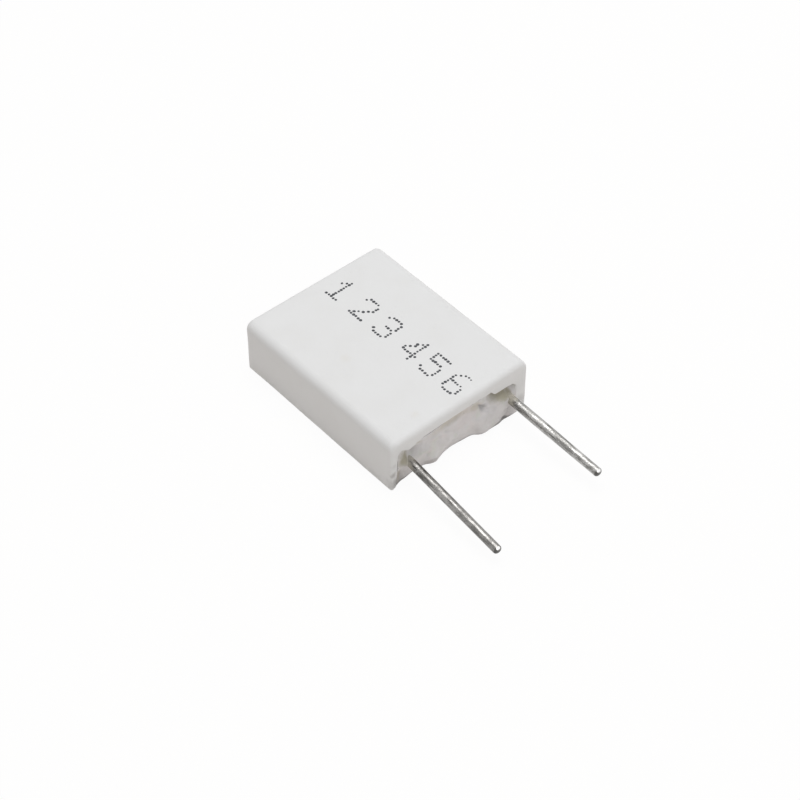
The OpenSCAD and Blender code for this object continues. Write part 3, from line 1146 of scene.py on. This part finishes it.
@dataclass
class Marking(Piece):
    """A generic row of digits, set dot by dot on the case as an ink jet does."""

    text: str = "123456"
    places: tuple[float, ...] = (-6.79, -3.74, -1.02, 2.15, 4.5, 7.1)
    middle_y: float = 1.14
    height: float = 2.15
    width: float = 1.4
    dot_r: float = 0.132
    ink_height: float = 0.006
    jitter: float = 0.018
    worn_from: float = 6.0
    worn_to: float = 7.6
    seed: int = 7
    digits: dict[str, tuple[str, ...]] = field(default_factory=lambda: {
        "1": ("000100", "001100", "010100", "000100", "000100", "000100", "000100", "000100", "011111"),
        "2": ("011110", "100001", "000001", "000001", "000010", "000100", "001000", "010000", "111111"),
        "3": ("011110", "100001", "000001", "000001", "001110", "000001", "000001", "100001", "011110"),
        "4": ("000010", "000110", "001010", "001010", "010010", "100010", "111111", "000010", "000010"),
        "5": ("111111", "100000", "100000", "111110", "000001", "000001", "000001", "100001", "011110"),
        "6": ("001110", "010000", "100000", "100000", "111110", "100001", "100001", "100001", "011110"),
    })

    def build(self, material: bpy.types.Material,
              lift: Callable[[float, float], float]) -> bpy.types.Object:
        """Builds and places the marking.

        Args:
            material: its ink.
            lift: height of the case's top at a place.

        Returns:
            The object.
        """
        rng = random.Random(self.seed)
        bm = bmesh.new()
        for digit, place in zip(self.text, self.places):
            slant = rng.uniform(-0.03, 0.03)
            lines = self.digits[digit]
            for row, line in enumerate(lines):
                for column, dot in enumerate(line):
                    if dot == "0":
                        continue
                    across, down = column / (len(line) - 1), row / (len(lines) - 1)
                    x = place + (across - 0.5) * self.width + rng.gauss(0, self.jitter)
                    y = self.middle_y + (0.5 - down) * self.height + rng.gauss(0, self.jitter)
                    x += slant * (y - self.middle_y)
                    fade = ease(x, self.worn_from, self.worn_to)
                    fade *= ease(y, self.middle_y - 1.2, self.middle_y + 0.9)
                    size = self.dot_r * rng.uniform(0.86, 1.12) * (1 - 0.62 * fade * rng.random())
                    self._dot(bm, Vector((x, y, lift(x, y))), size, rng)
        return self.place(bm, material, 60.0)

    def _dot(self, bm: bmesh.types.BMesh, at: Vector, size: float, rng: random.Random) -> None:
        """Adds one dot: a thin closed drop that sinks a little into the surface.

        Args:
            bm: the mesh.
            at: its middle, on the surface.
            size: its radius.
            rng: source of its small unevenness.
        """
        stretch = Matrix.Diagonal((rng.uniform(0.9, 1.12), rng.uniform(0.9, 1.12), 1.0, 1.0))
        turn = Matrix.Rotation(rng.uniform(0, math.pi), 4, "Z")
        base = Matrix.Translation(at - Vector((0, 0, self.ink_height)))
        ring = bmesh.ops.create_circle(bm, segments=12, radius=size, cap_ends=True,
                                       matrix=base @ turn @ stretch)["verts"]
        faces = list({face for vert in ring for face in vert.link_faces})
        grown = bmesh.ops.extrude_face_region(bm, geom=faces)["geom"]
        top = [item for item in grown if isinstance(item, bmesh.types.BMVert)]
        bmesh.ops.translate(bm, vec=(0, 0, 2 * self.ink_height), verts=top)
        bmesh.ops.scale(bm, vec=(0.82, 0.82, 1.0), verts=top, space=Matrix.Translation(-at))


@dataclass
class Studio:
    """White floor, soft lamps and the camera at the photograph's angle."""

    camera_place: Vector = field(default_factory=lambda: Vector((84.004, -71.547, 115.343)))
    camera_right: Vector = field(default_factory=lambda: Vector((0.65652, 0.7543, 0.0)))
    camera_back: Vector = field(default_factory=lambda: Vector((0.51735, -0.45029, 0.72772)))
    lens: float = 90.0
    floor_size: float = 3000.0
    floor_drop: float = 0.02
    world_level: float = 0.37
    lamps: tuple[tuple[str, tuple[float, float, float], float, float], ...] = (
        ("soft_top", (-60, 60, 420), 320, 1.07), ("soft_front", (330, 60, 260), 260, 0.3))

    def build(self, floor_finish: bpy.types.Material) -> None:
        """Builds the whole set.

        Args:
            floor_finish: the floor's material.
        """
        self._camera()
        self._floor(floor_finish)
        self._world()
        for lamp in self.lamps:
            self._lamp(*lamp)
        bpy.context.scene.view_settings.view_transform = "Standard"

    def _camera(self) -> None:
        """Puts the camera where the photograph was taken from."""
        data = bpy.data.cameras.new("camera")
        data.lens, data.sensor_width = self.lens, 36.0
        data.clip_start, data.clip_end = 0.01, 20.0
        camera = bpy.data.objects.new("camera", data)
        bpy.context.scene.collection.objects.link(camera)
        back = self.camera_back.normalized()
        right = self.camera_right.normalized()
        up = back.cross(right).normalized()
        turned = Matrix((right, up, back)).transposed().to_4x4()
        camera.matrix_world = Matrix.Translation(self.camera_place * MM) @ turned
        bpy.context.scene.camera = camera

    def _floor(self, finish: bpy.types.Material) -> None:
        """Lays the floor just under the part.

        Args:
            finish: its material.
        """
        bm = bmesh.new()
        bmesh.ops.create_grid(bm, x_segments=1, y_segments=1, size=self.floor_size * MM / 2)
        bmesh.ops.translate(bm, vec=(0, 0, -self.floor_drop * MM), verts=bm.verts[:])
        mesh = bpy.data.meshes.new("floor")
        bm.to_mesh(mesh)
        bm.free()
        mesh.materials.append(finish)
        floor = bpy.data.objects.new("floor", mesh)
        bpy.context.scene.collection.objects.link(floor)

    def _world(self) -> None:
        """Sets a plain pale world that the camera and mirrors see as white."""
        world = bpy.data.worlds.new("studio")
        bpy.context.scene.world = world
        net = Net(world)
        level = net.seen_or_mirrored() * (1.0 - self.world_level) + self.world_level
        light = net.node("ShaderNodeBackground", None, {"Color": (1.0, 1.0, 1.0), "Strength": level})
        net.make("ShaderNodeOutputWorld", None, {"Surface": light})

    def _lamp(self, name: str, place: Sequence[float], size: float, watts: float) -> None:
        """Hangs one soft square lamp that faces the part.

        Args:
            name: its name.
            place: where it hangs, in millimetres.
            size: its side, in millimetres.
            watts: its power.
        """
        data = bpy.data.lights.new(name, "AREA")
        data.shape, data.size, data.energy = "SQUARE", size * MM, watts
        lamp = bpy.data.objects.new(name, data)
        bpy.context.scene.collection.objects.link(lamp)
        lamp.location = Vector(place) * MM
        lamp.rotation_euler = (-Vector(place)).to_track_quat("-Z", "Y").to_euler()


def dress(node: str, material: bpy.types.Material) -> None:
    """Gives a CAD node that stays a better material.

    Args:
        node: the node's name.
        material: its finish.
    """
    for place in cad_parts[node].material_slots:
        place.material = material


def main() -> None:
    """Builds the resistor and its studio."""
    logging.basicConfig(level=logging.INFO, format="%(name)s: %(message)s")
    Studio().build(FloorFinish().make())
    case = CeramicCase("case_body", Slot.CASE, ("ceramic_case",))
    case.build(CeramicFinish().make())
    Cement("cement_body", Slot.CEMENT, ("cement_fill",)).build(CementFinish().make())
    dull = TinFinish("dull_tin", bright=(0.34, 0.332, 0.32), bloom=(0.155, 0.15, 0.143),
                     residue=(0.45, 0.425, 0.375), residue_from=9.8, residue_to=8.85,
                     darker_from=11.8, darker_to=10.2, flank=0.4)
    Lead("wire_left", Slot.LEAD, ("lead_left",), side=Side.LEFT).build(dull.make())
    Lead("wire_right", Slot.LEAD, ("lead_right",), side=Side.RIGHT, free_length=9.9, droop=3.7,
         splay=1.0, radius=0.398).build(TinFinish().make())
    Marking("marking", Slot.CASE).build(InkFinish().make(), case.top_at)
    dress("resistance_plate", AlloyFinish().make())


if __name__ == "__main__":
    main()
